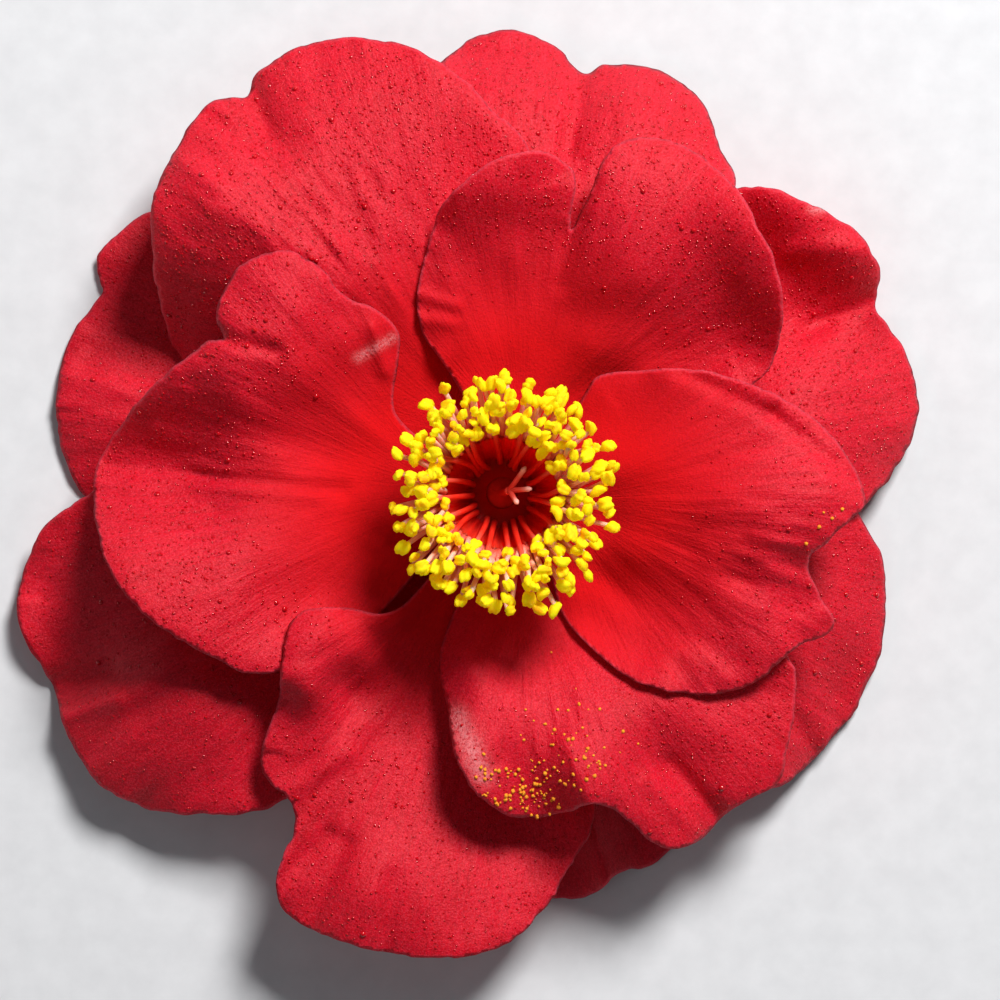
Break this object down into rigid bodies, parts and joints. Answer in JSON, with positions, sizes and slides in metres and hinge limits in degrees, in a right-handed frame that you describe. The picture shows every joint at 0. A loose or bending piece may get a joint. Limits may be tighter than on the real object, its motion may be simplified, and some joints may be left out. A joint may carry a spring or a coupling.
{
  "type": "camellia flower",
  "caption": "Open red camellia blossom, cut short and lying face up, with notched overlapping petals round a ring of yellow stamens.",
  "frame": {"origin": "centre of the flower's box, on the table that it lies on", "axes": "+Z out of the face of the flower, along its axis; +Y towards the side of the petal with the cleft and the broad back petals behind it"},
  "size_m": [0.1146, 0.1171, 0.0308],
  "materials": {
    "petal": "satin",
    "sepal": "satin",
    "stalk": "matte",
    "pistil": "satin",
    "stamen": "matte"
  },
  "bodies": {
    "root": {"petal_back_bottom": "petal", "petal_back_lower_right": "petal", "petal_back_upper_right": "petal", "petal_back_upper_left": "petal", "petal_back_lower_left": "petal", "petal_back_top": "petal", "petal_back_top_left": "petal", "petal_top": "petal", "petal_left": "petal", "petal_bottom": "petal", "petal_lower_right": "petal", "petal_right": "petal", "sepal_1": "sepal", "sepal_2": "sepal", "sepal_3": "sepal", "sepal_4": "sepal", "sepal_5": "sepal", "bract_1": "sepal", "bract_2": "sepal", "bract_3": "sepal", "bract_4": "sepal", "stalk": "stalk", "pistil": "pistil", "stamen_tube": "stamen", "inner_stamen_01": "stamen", "inner_stamen_02": "stamen", "inner_stamen_03": "stamen", "inner_stamen_04": "stamen", "inner_stamen_05": "stamen", "inner_stamen_06": "stamen", "inner_stamen_07": "stamen", "inner_stamen_08": "stamen", "inner_stamen_09": "stamen", "inner_stamen_10": "stamen", "inner_stamen_11": "stamen", "inner_stamen_12": "stamen", "inner_stamen_13": "stamen", "inner_stamen_14": "stamen", "inner_stamen_15": "stamen", "inner_stamen_16": "stamen", "inner_stamen_17": "stamen", "inner_stamen_18": "stamen", "inner_stamen_19": "stamen", "inner_stamen_20": "stamen"}
  },
  "joints": []
}
